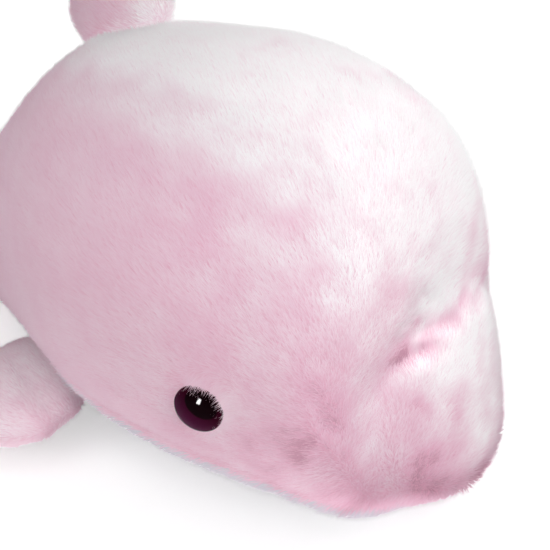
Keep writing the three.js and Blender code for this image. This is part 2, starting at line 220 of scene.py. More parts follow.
FLOOR_HALF = 8.0
FLOOR_COLOUR = (0.97, 0.97, 0.97, 1)
FLOOR_GLOW = 0.42  # what the shaded floor under the toy lacks to be white
FAR_GLOW = 0.2  # and how much more it glows far off
FAR_OFF = (0.35, 1.1)
floor_material, tree, floor_shader = material("floor")
floor_shader.inputs["Base Color"].default_value = FLOOR_COLOUR
floor_shader.inputs["Roughness"].default_value = 1.0
floor_shader.inputs["Specular IOR Level"].default_value = 0.0
floor_shader.inputs["Emission Strength"].default_value = 1.0
spot = make(tree, "ShaderNodeTexCoord", output="Object")
far_off = spot.vector("LENGTH", spot, output="Value").between(*FAR_OFF)
glow = looked_at(tree) * (far_off * FAR_GLOW + FLOOR_GLOW)
tree.links.new(glow.socket, floor_shader.inputs["Emission Color"])
floor_corners = [(x * FLOOR_HALF, y * FLOOR_HALF, 0) for x, y in ((-1, -1), (1, -1), (1, 1), (-1, 1))]
floor_mesh = bpy.data.meshes.new("floor")
floor_mesh.from_pydata(floor_corners, [], [(0, 1, 2, 3)])
floor_mesh.materials.append(floor_material)
floor = bpy.data.objects.new("floor", floor_mesh)
scene.collection.objects.link(floor)
print("floor", 2 * FLOOR_HALF, "m wide")


# %% Light
def lamp(name, place, target, size, power):
    data = bpy.data.lights.new(name, "AREA")
    data.shape = "RECTANGLE"
    data.cycles.use_multiple_importance_sampling = name == "glint"
    data.size, data.size_y = size
    data.energy = power
    made = bpy.data.objects.new(name, data)
    made.location = place
    made.rotation_euler = (Vector(place) - Vector(target)).to_track_quat("Z", "Y").to_euler()
    scene.collection.objects.link(made)
    return made


def soft_sky(name, towards, level):
    """Even light from a wide patch of sky, at a level where 1 shows a matt colour as written."""
    data = bpy.data.lights.new(name, "SUN")
    data.energy = level * math.pi
    data.angle = SKY_PATCH
    data.cycles.use_multiple_importance_sampling = False
    made = bpy.data.objects.new(name, data)
    made.rotation_euler = Vector(towards).to_track_quat("Z", "Y").to_euler()
    scene.collection.objects.link(made)
    return made


SKY_PATCH = math.radians(90)
SKY = {  # direction and level
    "above": ((0.1, 0.0, 1.0), 0.17),
    "front": ((0.9, -0.2, 0.35), 0.16),
    "left": ((0.2, 0.9, 0.3), 0.22),
    "behind": ((-0.75, 0.6, 0.1), 0.35),
}
LAMPS = {  # place, aim, size and power
    "brow": ((0.70, -0.30, 0.45), (0.17, 0.0, 0.12), (0.3, 0.3), 1.4),
    "crown": ((0.45, 0.25, 0.60), (0.15, 0.0, 0.20), (0.3, 0.3), 0.6),
    "side": ((0.25, -0.90, 0.12), (0.15, -0.1, 0.10), (0.5, 0.15), 1.55),
    "rear": ((-0.15, -0.60, 0.35), (0.0, -0.12, 0.06), (0.2, 0.2), 0.5),
    "paddle": ((-0.03, -0.24, 0.55), (-0.02, -0.17, 0.04), (0.1, 0.1), 0.022),
}
PADDLE_SPREAD = math.radians(60)
GLINT = ((0.25, -0.95, 0.10), (0.17, -0.12, 0.09), (0.13, 0.55), 150.0)
GLINT_ROLL = math.radians(-20)
WORLD_LIGHT = 0.12
skies = [soft_sky(f"sky_{name}", *values) for name, values in SKY.items()]
lamps = [lamp(name, *values) for name, values in LAMPS.items()]
lamps[-1].data.spread = PADDLE_SPREAD
glint = lamp("glint", *GLINT)
glint.rotation_euler.rotate_axis("Z", GLINT_ROLL)
glint.visible_diffuse = False
world = bpy.data.worlds.new("world")
scene.world = world
world.use_nodes = True
sky = world.node_tree
sky.nodes.clear()
strength = looked_at(sky) * (1 - WORLD_LIGHT) + WORLD_LIGHT
shine = make(sky, "ShaderNodeBackground", inputs={"Color": (1, 1, 1, 1), "Strength": strength})
make(sky, "ShaderNodeOutputWorld", inputs={"Surface": shine})
scene.view_settings.view_transform = "Standard"
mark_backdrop(floor, glint, *lamps, *skies)
print("skies", len(skies), "lamps", len(lamps), "and a glint")

# %% [markdown]
# ## Skins
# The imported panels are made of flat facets, and real plush fabric spans such facets smoothly. They
# could be rounded one by one, but then gaps would open at the seams. Each bag is woven anew instead:
# all solids of a part are wrapped in one even net, and the net is evened out without shrinking. The
# dorsal fin and the flippers get a plug at the root first, so that their skin goes on into the body
# as sewn fabric does.


# %% Points and directions
def read(items, name, width=3):
    values = np.empty(len(items) * width, np.float32)
    items.foreach_get(name, values)
    return values.reshape(-1, width).astype(float)


def write_points(mesh, points):
    mesh.vertices.foreach_set("co", points.astype(np.float32).ravel())
    mesh.update()


def unit(vectors):
    return vectors / np.maximum(np.linalg.norm(vectors, axis=-1, keepdims=True), 1e-9)


def step(values, low, high):
    """A smooth step from 0 at low to 1 at high."""
    share = np.clip((values - low) / (high - low), 0, 1)
    return share * share * (3 - 2 * share)


def fade(values, low, high):
    """A smooth step from 1 at low to 0 at high."""
    return step(-values, -high, -low)


print("a quarter of the way is", step(np.array(0.25), 0, 1), "and falls to", fade(np.array(0.25), 0, 1))

# %% Evening out
DRAWN_IN = 0.5
PUSHED_BACK = -0.52


def evened(points, edges, rounds):
    """Points drawn towards their neighbours and almost as far back, so that only bumps go."""
    a, b = edges.T
    count = np.bincount(edges.ravel(), minlength=len(points))[:, None]
    for _ in range(rounds):
        for share in (DRAWN_IN, PUSHED_BACK):
            total = np.zeros_like(points)
            np.add.at(total, a, points[b])
            np.add.at(total, b, points[a])
            points = points + share * (total / count - points)
    return points


def calmed(vectors, edges, rounds):
    """Directions averaged with those of their neighbours."""
    a, b = edges.T
    for _ in range(rounds):
        total = vectors.copy()
        np.add.at(total, a, vectors[b])
        np.add.at(total, b, vectors[a])
        vectors = unit(total)
    return vectors


def keep_largest(mesh):
    """Removes all but the largest connected part of a mesh."""
    work = bmesh.new()
    work.from_mesh(mesh)
    left = set(work.verts)
    parts = []
    while left:
        part = {left.pop()}
        front = list(part)
        while front:
            vertex = front.pop()
            new = {edge.other_vert(vertex) for edge in vertex.link_edges} - part
            part |= new
            front += new
        left -= part
        parts.append(part)
    parts.sort(key=len)
    bmesh.ops.delete(work, geom=[v for part in parts[:-1] for v in part], context="VERTS")
    work.to_mesh(mesh)
    work.free()


lost = 1 - (1 - DRAWN_IN) * (1 - PUSHED_BACK)
print("each round of evening out takes", round(lost, 2), "off a lone bump")

# %% Weaving
SAME_POINT = 1e-5


def plug_mesh(points):
    """The hull of some points."""
    work = bmesh.new()
    corners = [work.verts.new(p) for p in points]
    inner = bmesh.ops.convex_hull(work, input=corners)["geom_interior"]
    loose = [item for item in inner if isinstance(item, bmesh.types.BMVert)]
    bmesh.ops.delete(work, geom=loose, context="VERTS")
    bmesh.ops.recalc_face_normals(work, faces=work.faces)
    mesh = bpy.data.meshes.new("plug")
    work.to_mesh(mesh)
    work.free()
    return mesh


def woven(name, sources, plug, spacing, rounds):
    """A smooth closed mesh through the outside of some CAD nodes and a hull of plug points."""
    work = bmesh.new()
    for source in sources:
        work.from_mesh(nodes[source].data)
    bmesh.ops.remove_doubles(work, verts=work.verts, dist=SAME_POINT)
    if len(plug):
        work.from_mesh(plug_mesh(plug))
    rough_mesh = bpy.data.meshes.new(name)
    work.to_mesh(rough_mesh)
    work.free()
    rough = bpy.data.objects.new(name, rough_mesh)
    scene.collection.objects.link(rough)
    remesh = rough.modifiers.new("net", "REMESH")
    remesh.mode = "VOXEL"
    remesh.voxel_size = spacing
    mesh = bpy.data.meshes.new_from_object(rough.evaluated_get(bpy.context.evaluated_depsgraph_get()))
    bpy.data.objects.remove(rough)
    keep_largest(mesh)
    write_points(mesh, evened(read(mesh.vertices, "co"), np.array(mesh.edge_keys), rounds))
    mesh.shade_smooth()
    return mesh


PANELS = {
    "body": ["back_panel_right", "back_panel_left", "belly_panel", "body_stuffing"],
    "dorsal_fin": ["dorsal_fin_panel_left", "dorsal_fin_panel_right", "dorsal_fin_stuffing"],
    "flipper_right": ["flipper_right_panel_upper", "flipper_right_panel_lower", "flipper_right_stuffing"],
    "flipper_left": ["flipper_left_panel_upper", "flipper_left_panel_lower", "flipper_left_stuffing"],
    "flukes": ["flukes_panel_upper", "flukes_panel_lower", "flukes_stuffing"],
}
FINS = list(PANELS)[1:]
SIDES = ("right", "left")
EYE_INSIDE = [f"eye_{side}_{part}" for side in SIDES for part in ("iris", "stem", "washer")]
cad_points = {
    body: np.concatenate([read(nodes[source].data.vertices, "co") for source in sources])
    for body, sources in PANELS.items()
}
print("points of the panels", {body: len(points) for body, points in cad_points.items()})

# %% How each fin stands on the body
hinges = {joint["child"]: joint for joint in frame["joints"]}
fin_frames = {}
for fin in FINS:
    pivot = np.array(hinges[fin]["pos_m"])
    axis = unit(np.array(hinges[fin]["axis"], float))
    offsets = cad_points[fin] - cad_points[fin].mean(axis=0)
    thin = np.linalg.svd(offsets, full_matrices=False)[2][2]
    out = unit(np.cross(axis, thin))
    out = out * np.sign(out @ (cad_points[fin].mean(axis=0) - pivot))
    fin_frames[fin] = {"pivot": pivot, "chord": axis, "out": out}
    print(fin, "out", out.round(2), "chord", axis.round(2))

# %% The skins
ROOT_BAND = 0.006  # a fin's plug starts from the points this near to its hinge
ROOT_MIDDLE = 0.001  # which are counted from a little outside it
ROOT_SUNK = 0.004  # it goes on this far under the root of its panels
ROOT_NARROWS = 0.15  # and loses this share of its length there
BODY_NET = (0.004, 40)  # spacing and rounds of evening out
FIN_NET = (0.0035, 60)


def root_plug(fin):
    """Points of the fin at its hinge, and the same points moved down into the body."""
    place = fin_frames[fin]
    reach = (cad_points[fin] - place["pivot"]) @ place["out"]
    sunk = -reach.min() + ROOT_SUNK
    band = cad_points[fin][np.abs(reach - ROOT_MIDDLE) < ROOT_BAND]
    narrow = ROOT_NARROWS * ((band - place["pivot"]) @ place["chord"])[:, None] * place["chord"]
    return np.concatenate([band, band - sunk * place["out"] - narrow])


skins = {"body": woven("body_skin", PANELS["body"] + EYE_INSIDE, [], *BODY_NET)}
for fin in FINS:
    plug = [] if fin == "flukes" else root_plug(fin)
    skins[fin] = woven(f"{fin}_skin", PANELS[fin], plug, *FIN_NET)
print("points of the skins", {body: len(mesh.vertices) for body, mesh in skins.items()})

# %% [markdown]
# ## Stuffing
# Stuffing presses on the fabric from inside, and only the seams hold it back. A cloth simulation
# does just that: the skin is cloth under pressure, pinned along its seams, and it runs until the
# panels stand out between them. How far it may move is capped, so that the outline stays true. The
# fins are small and held all round, so they hardly move.

# %% Pressing out
CLOTH_FRAMES = 12
PRESSURE = 4
LEAST_PIN = 0.05


def inflated(mesh, held, most):
    """Presses a skin out where it isn't held, by no more than a given distance."""
    start = read(mesh.vertices, "co")
    move = most * read(mesh.vertices, "normal") * (1 - held)[:, None]
    bag = bpy.data.objects.new("bag", mesh.copy())
    scene.collection.objects.link(bag)
    pins = bag.vertex_groups.new(name="pins")
    for index in np.flatnonzero(held > LEAST_PIN):
        pins.add([int(index)], float(held[index]), "REPLACE")
    cloth = bag.modifiers.new("cloth", "CLOTH")
    cloth.settings.vertex_group_mass = "pins"
    cloth.settings.use_pressure = True
    cloth.settings.uniform_pressure_force = PRESSURE
    cloth.settings.effector_weights.gravity = 0
    cloth.point_cache.frame_end = CLOTH_FRAMES
    for moment in range(1, CLOTH_FRAMES + 1):
        scene.frame_set(moment)
    blown = bag.evaluated_get(bpy.context.evaluated_depsgraph_get())
    move = read(blown.data.vertices, "co") - start
    move *= most / np.maximum(np.linalg.norm(move, axis=1, keepdims=True), most)
    bpy.data.objects.remove(bag)
    scene.frame_set(1)
    write_points(mesh, start + move)
    return np.linalg.norm(move, axis=1).mean()


print("cloth runs for", CLOTH_FRAMES, "frames a skin")

# %% Where the seams hold
SEAM_WIDTH = 0.003
SPINE_HOLD = 0.4  # the seam along the back holds less than the others
SEAMS_END = (0.19, 0.24)  # no seam shows on the beak
ROOT_HELD = 0.008  # a fin is held this far out from its hinge


def surface(sources):
    work = bmesh.new()
    for source in sources:
        work.from_mesh(nodes[source].data)
    tree = BVHTree.FromBMesh(work)
    work.free()
    return tree


def seam_gap(body, points):
    """How much nearer each point is to one side of the seam than to the other."""
    panels = PANELS[body]
    first, second = (panels[2:3], panels[:2]) if body == "body" else (panels[:1], panels[1:2])
    gaps = []
    for sources in (first, second):
        tree = surface(sources)
        gaps.append(np.array([tree.find_nearest(Vector(p))[3] for p in points]))
    return gaps[0] - gaps[1]


def seam_hold(body, points, gap):
    """How firmly the seams hold each point, from 0 to 1."""
    held = np.exp(-((gap / SEAM_WIDTH) ** 2))
    if body == "body":
        spine = SPINE_HOLD * np.exp(-((points[:, 1] / SEAM_WIDTH) ** 2)) * (gap > 0)
        return np.maximum(held, spine) * fade(points[:, 0], *SEAMS_END)
    reach = (points - fin_frames[body]["pivot"]) @ fin_frames[body]["out"]
    return np.maximum(held, fade(reach, 0.0, ROOT_HELD))


seams = {body: seam_gap(body, read(mesh.vertices, "co")) for body, mesh in skins.items()}
print("points at a seam", {body: int((np.abs(gap) < SEAM_WIDTH).sum()) for body, gap in seams.items()})

# %% Stuffing
PILE_DEPTH = {"body": 0.0022}  # the body's skin lies this far under the outside of the panels
SEAM_DENT = 0.0007  # and this much deeper at its seams
STUFFED = 0.003  # between the seams it starts this much deeper, before the stuffing presses it out
BEAK_OUT = 0.003  # the beak is stuffed this much fuller
BEAK_FULL = (0.19, 0.235)
LOBE_HEIGHT = 0.006  # a flipper bulges in front, near its root
LOBE_RADIUS = 0.016
LOBE_FORWARD = 0.045
LOBE_INWARD = 0.002


def with_lobe(fin, points):
    """The points of a flipper, pressed forward at the front of its root."""
    place = fin_frames[fin]
    front = place["chord"] * np.sign(place["chord"][0])
    lobe = points - place["pivot"] + LOBE_INWARD * place["out"] - LOBE_FORWARD * front
    swell = LOBE_HEIGHT * np.exp(-((np.linalg.norm(lobe, axis=1) / LOBE_RADIUS) ** 2))
    return points + swell[:, None] * front


for body, mesh in skins.items():
    points = read(mesh.vertices, "co")
    held = seam_hold(body, points, seams[body])
    depth = PILE_DEPTH.get(body, 0.0) + STUFFED + (SEAM_DENT - STUFFED) * held
    if body == "body":
        depth -= BEAK_OUT * step(points[:, 0], *BEAK_FULL)
    elif "flipper" in body:
        points = with_lobe(body, points)
    write_points(mesh, points - depth[:, None] * read(mesh.vertices, "normal"))
    print(body, "pressed out by", round(1000 * inflated(mesh, held, STUFFED), 2), "mm on average")

# %% [markdown]
# ## Creases
# Where the brow meets the beak the back panels are gathered by short darts, which pull the fabric
# in. They are lines on the face, given in millimetres for the right side and mirrored, and the
# skin is drawn in along them. A bump in the material would look the same from in front, but the
# pile would grow straight over it.

# %% Creases
FOLDS = [  # points with their depth
    [(247, 4, 108, 2), (243, -15, 111.5, 2.6), (239, -31, 113.5, 2.2), (236, -46, 114, 1),
     (233, -60, 112, 0)],
    [(249, -10, 103, 0), (243.5, -27, 105, 2), (240, -40, 105, 2.2), (237, -52, 105, 1.4),
     (233, -64, 101, 0)],
]
MILLIMETRES = 1000  # in a metre
FOLD_WIDTH = 0.006
FOLD_CALM = 6  # rounds


def fold_field(points, folds, width):
    """How deep the folds draw each point in, in metres, as a smooth valley of a given width."""
    drawn = np.zeros(len(points))
    for fold in folds:
        for side in (1, -1):
            line = np.array(fold, float) / MILLIMETRES
            line[:, 1] *= side
            for start, end in zip(line, line[1:]):
                along = end[:3] - start[:3]
                share = np.clip((points - start[:3]) @ along / (along @ along), 0, 1)
                gap = np.linalg.norm(points - start[:3] - share[:, None] * along, axis=1)
                depth = start[3] + share * (end[3] - start[3])
                drawn = np.maximum(drawn, depth * np.exp(-((gap / width) ** 2)))
    return drawn


body_mesh = skins["body"]
points = read(body_mesh.vertices, "co")
even = calmed(read(body_mesh.vertices, "normal"), np.array(body_mesh.edge_keys), FOLD_CALM)
drawn = fold_field(points, FOLDS, FOLD_WIDTH)
write_points(body_mesh, points - drawn[:, None] * even)
print("deepest crease", round(float(drawn.max()) * MILLIMETRES, 1), "mm")

# %% [markdown]
# ## Fields on the skin
# Before pile can grow, the skin has to know some things everywhere: which way the pile is brushed,
# how long it is, how pale it is and how thickly it stands. They could be painted by hand. Here they
# follow from where a point lies and which way it faces, and are kept as attributes of the points.
# How pale it is holds painted light: the pile is paler where it faces up and forward, as if lit
# there. Around the darts the pile lies in small tufts, painted pale on top as lit, and deeper pink
# as painted shade where it parts.

# %% Keeping fields
EVEN_SHARE = 2  # pile hides small bumps, so its light follows the calmed skin by this much more
UNDERSIDE_LIFT = 0.9  # pile on the underside catches light from the side
UNDERSIDE = (-0.5, 0.1)
# painted light: how much facing forward, to each flank and up makes the pile paler, as if lit from there
PAINTED_LIGHT_FACING = {"front": 0.35, "right": 0.45, "left": -0.2, "top": 0.82}


def put(mesh, name, values):
    kind, key = ("FLOAT_VECTOR", "vector") if values.ndim == 2 else ("FLOAT", "value")
    attribute = mesh.attributes.new(name, kind, "POINT")
    attribute.data.foreach_set(key, values.astype(np.float32).ravel())


def put_fields(mesh, even, fields):
    """Keeps fields on a skin, with its outward directions and those that its light follows."""
    normals = read(mesh.vertices, "normal")
    lifted = unit(normals + EVEN_SHARE * even)
    lifted[:, 2] += UNDERSIDE_LIFT * fade(normals[:, 2], *UNDERSIDE)
    for name, values in {**fields, "outward": normals, "lit": unit(lifted)}.items():
        put(mesh, name, values)


def laid(brushed, normals):
    """Directions laid flat on the skin."""
    return unit(brushed - normals * np.sum(brushed * normals, axis=1, keepdims=True))


def painted_paleness(normals, low, high):
    """Painted light: the pile is palest where it faces up and forward, as if lit there, and keeps its pink
    on both flanks.
    """
    x, y, z = normals.T
    flank = np.where(y < 0, PAINTED_LIGHT_FACING["right"], PAINTED_LIGHT_FACING["left"]) * y
    return step(PAINTED_LIGHT_FACING["front"] * x + flank + PAINTED_LIGHT_FACING["top"] * z, low, high)


for name, way in {"up": (0.0, 0.0, 1.0), "right": (0.0, -1.0, 0.0)}.items():
    print("paleness of what faces", name, painted_paleness(np.array([way]), 0.0, 1.0).round(2))


# %% Where the eyes are
def box_middle(points):
    return (points.min(axis=0) + points.max(axis=0)) / 2


def eye_frame(side):
    """The base, outward axis, forward and upward directions, radius and height of an eye."""
    parts = {}
    for part in ("dome", "iris", "washer"):
        parts[part] = read(nodes[f"eye_{side}_{part}"].data.vertices, "co")
    dome = parts["dome"] - box_middle(parts["dome"])
    axis = unit(box_middle(parts["iris"]) - box_middle(parts["washer"]))
    forward = unit(np.array((1.0, 0, 0)) - axis * axis[0])
    upward = np.cross(axis, forward)
    upward = upward * np.sign(upward[2])
    height = dome @ axis
    radial = dome - height[:, None] * axis
    base = box_middle(parts["dome"]) + height.min() * axis
    return base, axis, forward, upward, np.linalg.norm(radial, axis=1).max(), height.max() - height.min()


for side in SIDES:
    print(side, "eye, radius", round(float(eye_frame(side)[4]) * MILLIMETRES, 1), "mm")

# %% Nap of the body
FACE = (0.15, 0.22)  # where the face begins, along the body
BEAK = (0.18, 0.24)
BEAK_TOP = (0.09, 0.135)  # and where the beak ends, upwards
BEAK_TIP = (0.65, 0.93)  # how far forward the skin faces there
MIDLINE = 0.04  # half the width in which the nap of the right half turns into that of the left
BACK_NAP = (-0.6, 1.0)  # backwards and up
FACE_ASIDE = (-0.15, 0.5)  # sideways on the right and on the left half of the face
BEAK_NAP = (-0.95, 0.4, 0.45)  # backwards, outwards and up
TIP_NAP = (-0.4, 0.2, 1.2)
BELLY_NAP = (-1.0, 0.0, 0.2)


def body_nap(points, normals, on_beak):
    """Backwards and up over the back, aside on the face and up from the tip of the beak."""
    x, y, _ = points.T
    ones = np.ones(len(x))
    right, left = FACE_ASIDE
    aside = (right + (left - right) * step(y, -MIDLINE, MIDLINE)) * step(x, *FACE)
    over_back = np.stack([BACK_NAP[0] * ones, aside, BACK_NAP[1] * ones], axis=1)
    beside = BEAK_NAP * np.stack([ones, np.sign(y), ones], axis=1)
    over_beak = beside + step(normals[:, 0], *BEAK_TIP)[:, None] * (TIP_NAP - beside)
    return over_back + on_beak[:, None] * (over_beak - over_back)


points = read(body_mesh.vertices, "co")
normals = read(body_mesh.vertices, "normal")
x, y, z = points.T
belly = seams["body"] < 0
on_beak = step(x, *BEAK) * fade(z, *BEAK_TOP)
brushed = body_nap(points, normals, on_beak)
brushed[belly] = BELLY_NAP
comb = laid(brushed, normals)
print("belly points", int(belly.sum()), "of", len(belly))

# %% Tone and length of the body's pile
# a share above 0 is painted light on the tufts and patches, a share below 0 painted shade where the pile
# parts
TUFTS = [  # points with their radius, in millimetres, and how much paler the pile is there
    (236, -29, 124, 5, 0.35), (237, -12, 120, 5, 0.35), (239, -24, 114, 4, 0.3), (241, -32, 109.5, 4, 0.35),
    (254, -8, 93, 14, 0.25), (244, -71, 66, 7, 0.25), (250, -62, 49, 7, 0.25), (233, 6, 156, 4, 0.3),
    (237, -31, 118, 3, -0.5), (243, -31, 107, 3, -0.5), (238, -45, 109, 4, -0.4), (248, -27, 102, 3, -0.3),
    (250, -47, 85, 4, -0.35), (254, -42, 80, 4, -0.35), (261, -24, 69, 5, -0.3), (262, -38, 56, 9, -0.2),
]
TUFT_TONE = 1.5
TUFT_LENGTH = 0.8
PARTING_WIDTH = 0.005
PARTING_DEPTH = 0.0026
BODY_PALE = (0.04, 0.7)
CHIN = (0.215, 0.245)
CHIN_TOP = (0.035, 0.075)
# besides the plain pink, these tones paint light where the pile faces up and forward, and paint shade on
# the beak, in the parted creases and under the chin
TONE = {"pink": 0.15, "painted_light": 0.95, "beak": 0.16, "parting": 0.9, "chin": 0.1}
UNEVEN = {"back": 0.12, "face": 0.3, "painted_light": 0.15}
UNEVEN_FACE = (0.1, 0.22)
FLOOR_SHORT = 0.012  # pile that lies on the floor is short up to here
FLOOR_LENGTH = 0.5
FLOOR_THIN = 0.008  # and thin up to here
FLOOR_COVER = 0.4
PARTING_SHORTER = 0.3
pale = painted_paleness(normals, *BODY_PALE)
parting = fold_field(points, FOLDS, PARTING_WIDTH) / PARTING_DEPTH
chin = step(x, *CHIN) * fade(z, *CHIN_TOP)
# painted light where the skin faces up and forward, painted shade on the beak, in the creases and at the
# chin
tone = np.minimum(TONE["pink"] + TONE["painted_light"] * pale, 1)
tone = tone - TONE["beak"] * on_beak - TONE["parting"] * parting - TONE["chin"] * chin
uneven = UNEVEN["back"] + UNEVEN["face"] * step(x, *UNEVEN_FACE) + UNEVEN["painted_light"] * pale
long = np.where(z < FLOOR_SHORT, FLOOR_LENGTH, 1.0) - PARTING_SHORTER * np.minimum(parting, 1)
cover = np.where(z < FLOOR_THIN, FLOOR_COVER, 1.0)
for *tuft, radius, change in TUFTS:
    gap = np.linalg.norm(points - np.array(tuft) / MILLIMETRES, axis=1) * MILLIMETRES
    near = np.exp(-((gap / radius) ** 2))
    tone += TUFT_TONE * change * near
    long += TUFT_LENGTH * max(change, 0) * near
print("tone from", round(float(tone.min()), 2), "to", round(float(tone.max()), 2))

# %% Fringe around the eyes
FRINGE_REACH = (0.005, 0.009)  # from the edge of the eye
FRINGE_SIDE = {"forward": 0.9, "upward": 0.45}  # where the fringe hangs from
FRINGE_EDGE = (-0.15, 0.4)  # how far round the eye it goes, as a cosine
CLEAR_EDGE = (-0.3, 0.1)
EYE_HOLE = -0.002  # no pile grows further in than this from the edge
FRINGE_BENT = 0.6  # how far the fringe turns towards the eye
FRINGE_LONGER = 0.33
FRINGE_THICKER = 3
CLEAR_SHORTER = 0.5  # the pile on the other side is trimmed


def around_eye(side, points):
    """Directions away from an eye, gaps to its edge, and where pile hangs over it or keeps clear."""
    base, axis, forward, upward, radius, _ = eye_frame(side)
    flat = points - base - ((points - base) @ axis)[:, None] * axis
    away = unit(flat)
    gap = np.linalg.norm(points - base, axis=1) - radius
    over = away @ unit(FRINGE_SIDE["forward"] * forward + FRINGE_SIDE["upward"] * upward)
    near = fade(gap, *FRINGE_REACH)
    return away, gap, near * step(over, *FRINGE_EDGE), near * fade(over, *CLEAR_EDGE)


for side in SIDES:
    away, gap, fringe, clear = around_eye(side, points)
    comb = comb * (1 - fringe - clear)[:, None] + away * (clear - FRINGE_BENT * fringe)[:, None]
    long = long * (1 + FRINGE_LONGER * fringe - CLEAR_SHORTER * clear)
    cover = cover * step(gap, EYE_HOLE, 0.0) * (1 + FRINGE_THICKER * fringe)
    print(side, "fringe on", int((fringe > 0.5).sum()), "points")
put_fields(body_mesh, even, {
    "comb": comb, "tone": tone, "spread": uneven, "long": long, "cover": cover, "seam": y,
})

# %% Fields of the fins
REAR = np.array((-1.0, 0, 0))
FIN_CALM = 20
FIN_PALE = (-0.1, 0.62)
FIN_LENGTH = 0.75
FIN_SWEEP = 0.3  # a fin is brushed mainly one way, and by this share the other
FIN_UNEVEN = (0.1, 0.2)  # in the pink, and what the painted light adds
# the flippers' pink is paler than the rest, painted light against the shade of the body on them
FIN_TONE = {"flipper": (0.35, 0.15), "other": (0.15, 0.6)}  # tone of the pink, and what the painted light adds
FRONT_EDGE = (0.0, 0.5)  # the front edge of the dorsal fin gets the most painted light, as lit from in front
FRONT_PAINTED_LIGHT = 1.2
for fin in FINS:
    mesh = skins[fin]
    out = fin_frames[fin]["out"]
    flipper = "flipper" in fin
    normals = read(mesh.vertices, "normal")
    swept = FIN_SWEEP * out + REAR if flipper else out + FIN_SWEEP * REAR
    pale = painted_paleness(normals, *FIN_PALE)
    # painted light on the front edge of the dorsal fin
    if fin == "dorsal_fin":
        pale = pale + FRONT_PAINTED_LIGHT * step(normals[:, 0], *FRONT_EDGE)
    pink, painted_light = FIN_TONE["flipper" if flipper else "other"]
    ones = np.ones(len(normals))
    put_fields(mesh, calmed(normals, np.array(mesh.edge_keys), FIN_CALM), {
        "comb": laid(np.tile(swept, (len(normals), 1)), normals),
        "tone": pink + painted_light * pale,
        "spread": FIN_UNEVEN[0] + FIN_UNEVEN[1] * pale,
        "long": FIN_LENGTH * ones,
        "cover": ones,
        "seam": seams[fin],
    })
    print(fin, "brushed towards", unit(swept).round(2))

# %% [markdown]
# ## Pile
# A strand of plush is a bundle of fibres. Here it is a needle of four points and three faces, broad
# at the root and pointed at the tip. Blender's hair would give finer fibres, but it isn't a mesh. So
# a graph of geometry nodes scatters points over a skin, turns a needle into the brushed direction at
# each and stretches it, and the whole pile follows from a density, a length and a seed.

# %% One strand
STRAND_POINTS = [(-0.5, -0.15, 0), (0.5, -0.15, 0), (0, 0.3, 0), (0, 0, 1)]
STRAND_FACES = [(0, 1, 3), (1, 2, 3), (2, 0, 3)]
strand_mesh = bpy.data.meshes.new("strand")
strand_mesh.from_pydata(STRAND_POINTS, [], STRAND_FACES)
put(strand_mesh, "along", np.array([0, 0, 0, 1.0]))
put(strand_mesh, "side", np.array([-1.0, 1.0, 0, 0]))
strand = bpy.data.objects.new("strand", strand_mesh)
print("strand of", len(strand_mesh.polygons), "faces")

# %% What a strand takes from the skin
DEEPEST = 0.3  # tones run from this far under 0, the deep colour of parted pile, which is painted shade, to 1, its palest
SEAM_REACH = 0.004  # pile is shorter and deeper in colour this near to a seam
SEAM_SHORTER = 0.1
SEAM_DEEPER = 0.04
SWIRLS = (110.0, 1.0)  # scale and detail of the noise that swirls the pile
PATCHES = (70.0, 2.0)  # and of the noise that makes it uneven in colour
DRIFTS = (26.0, 1.0)
PATCH_SHARE = 2.2
DRIFT_SHARE = 2.0
STRAND_SHARE = 0.2  # how much one strand differs in tone from the next
WIDTHS = (0.7, 1.3)  # least and most, as shares of what is asked for
LENGTH_SHARES = (0.7, 1.2)
SEEDS = {"jitter": 1, "width": 2, "length": 3, "tone": 4}


def field(tree, name, kind="FLOAT"):
    return make(tree, "GeometryNodeInputNamedAttribute", {"data_type": kind}, {"Name": name})


def chance(tree, given, low, high, purpose):
    inputs = {2: low, 3: high, "Seed": given["Seed"] + SEEDS[purpose]}
    return make(tree, "FunctionNodeRandomValue", {"data_type": "FLOAT"}, inputs, 1)


def noise(tree, scale, detail, output="Fac"):
    place = make(tree, "GeometryNodeInputPosition")
    inputs = {"Vector": place, "Scale": scale, "Detail": detail}
    return make(tree, "ShaderNodeTexNoise", None, inputs, output)


def strand_turn(tree, given, jitter):
    """Along the nap, swirled, raised and frayed, with its broad face to the skin."""
    clouds = noise(tree, *SWIRLS, "Color")
    swirl = clouds.vector("SUBTRACT", clouds, (0.5, 0.5, 0.5)).scaled(given["Swirl"])
    nap = field(tree, "comb", "FLOAT_VECTOR")
    outward = field(tree, "outward", "FLOAT_VECTOR")
    way = nap.vector("ADD", nap, swirl)
    way = way.vector("ADD", way, outward.scaled(given["Rise"]))
    way = way.vector("ADD", way, jitter.scaled(given["Fray"]))
    raised = make(tree, "FunctionNodeAlignRotationToVector", {"axis": "Z"}, {"Vector": way})
    return make(tree, "FunctionNodeAlignRotationToVector", {"axis": "Y", "pivot_axis": "Z"},
                {"Rotation": raised, "Vector": outward})


def strand_size(tree, given, near_seam):
    width = given["Width"] * chance(tree, given, *WIDTHS, "width")
    length = given["Length"] * chance(tree, given, *LENGTH_SHARES, "length") * field(tree, "long")
    length = length * (1.0 - near_seam * SEAM_SHORTER)
    return make(tree, "ShaderNodeCombineXYZ", None, {0: width, 1: width, 2: length})


def strand_tone(tree, given, near_seam):
    """The tone of the skin, made uneven, as a share of the whole range of tones."""
    patches = (noise(tree, *PATCHES) - 0.5) * PATCH_SHARE
    drifts = (noise(tree, *DRIFTS) - 0.5) * DRIFT_SHARE
    uneven = patches + drifts + chance(tree, given, -STRAND_SHARE, STRAND_SHARE, "tone")
    tone = field(tree, "tone") + field(tree, "spread") * uneven - near_seam * near_seam * SEAM_DEEPER
    return make(tree, "ShaderNodeClamp", None, {"Value": (tone + DEEPEST) / (1 + DEEPEST)})


